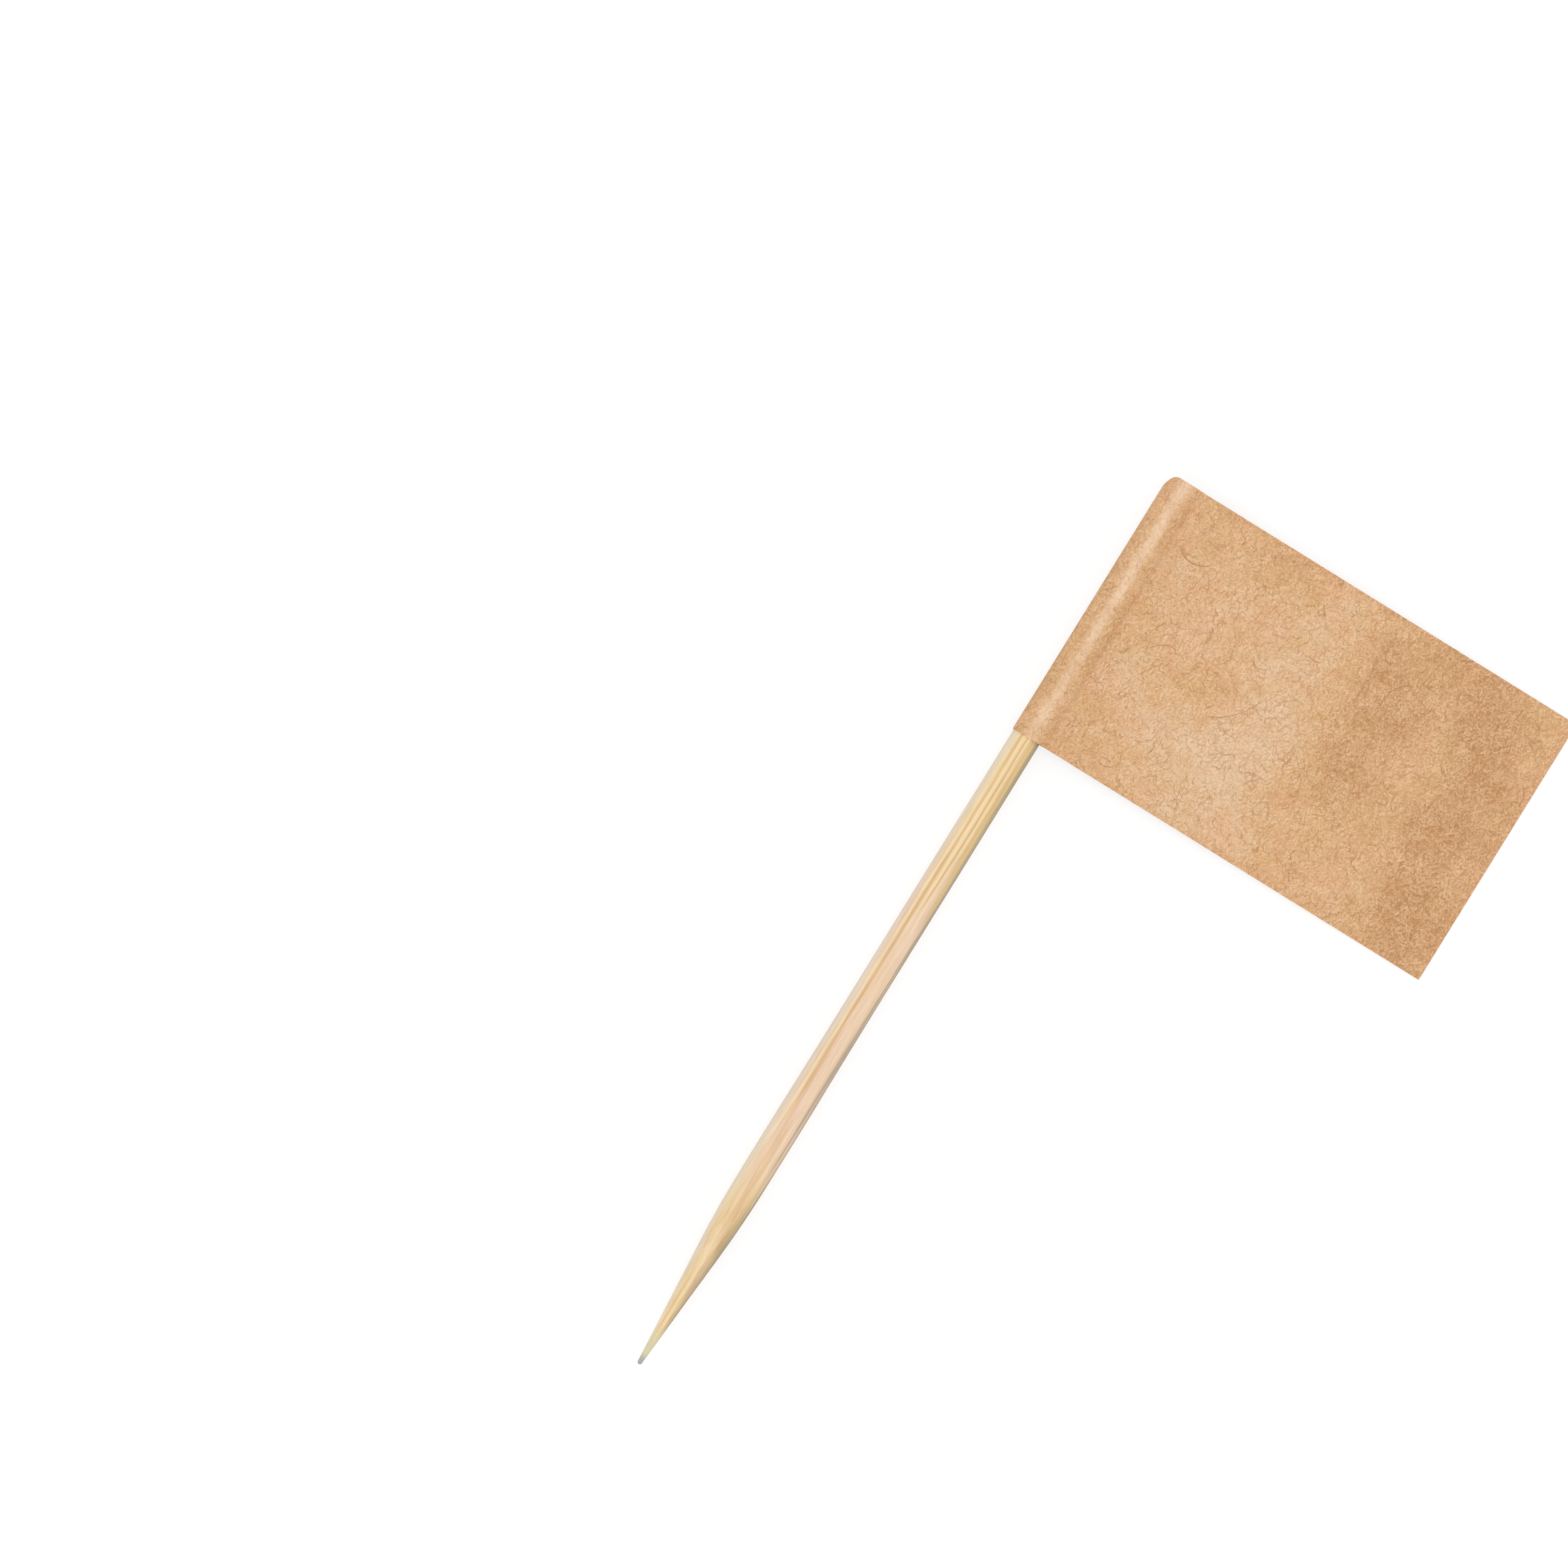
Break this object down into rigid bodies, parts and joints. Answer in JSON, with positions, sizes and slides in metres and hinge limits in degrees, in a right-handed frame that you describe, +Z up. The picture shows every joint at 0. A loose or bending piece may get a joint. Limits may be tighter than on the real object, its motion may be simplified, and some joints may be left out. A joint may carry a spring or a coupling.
{
  "type": "flag toothpick",
  "caption": "Round wooden pick with a sharp point and a rectangular kraft paper flag folded round its blunt end, for marking or decorating food.",
  "frame": {"origin": "on the table that the pick lies on, under the middle of the box that holds the whole pick", "axes": "+Y along the stick, from its point towards the flag; +X from the stick towards the flag's free edge; +Z up from the table"},
  "size_m": [0.03, 0.0652, 0.0021],
  "materials": {
    "pick_wood": "matte",
    "kraft_paper": "matte"
  },
  "bodies": {
    "root": {"toothpick": "pick_wood", "paper_flag": "kraft_paper"}
  },
  "joints": []
}
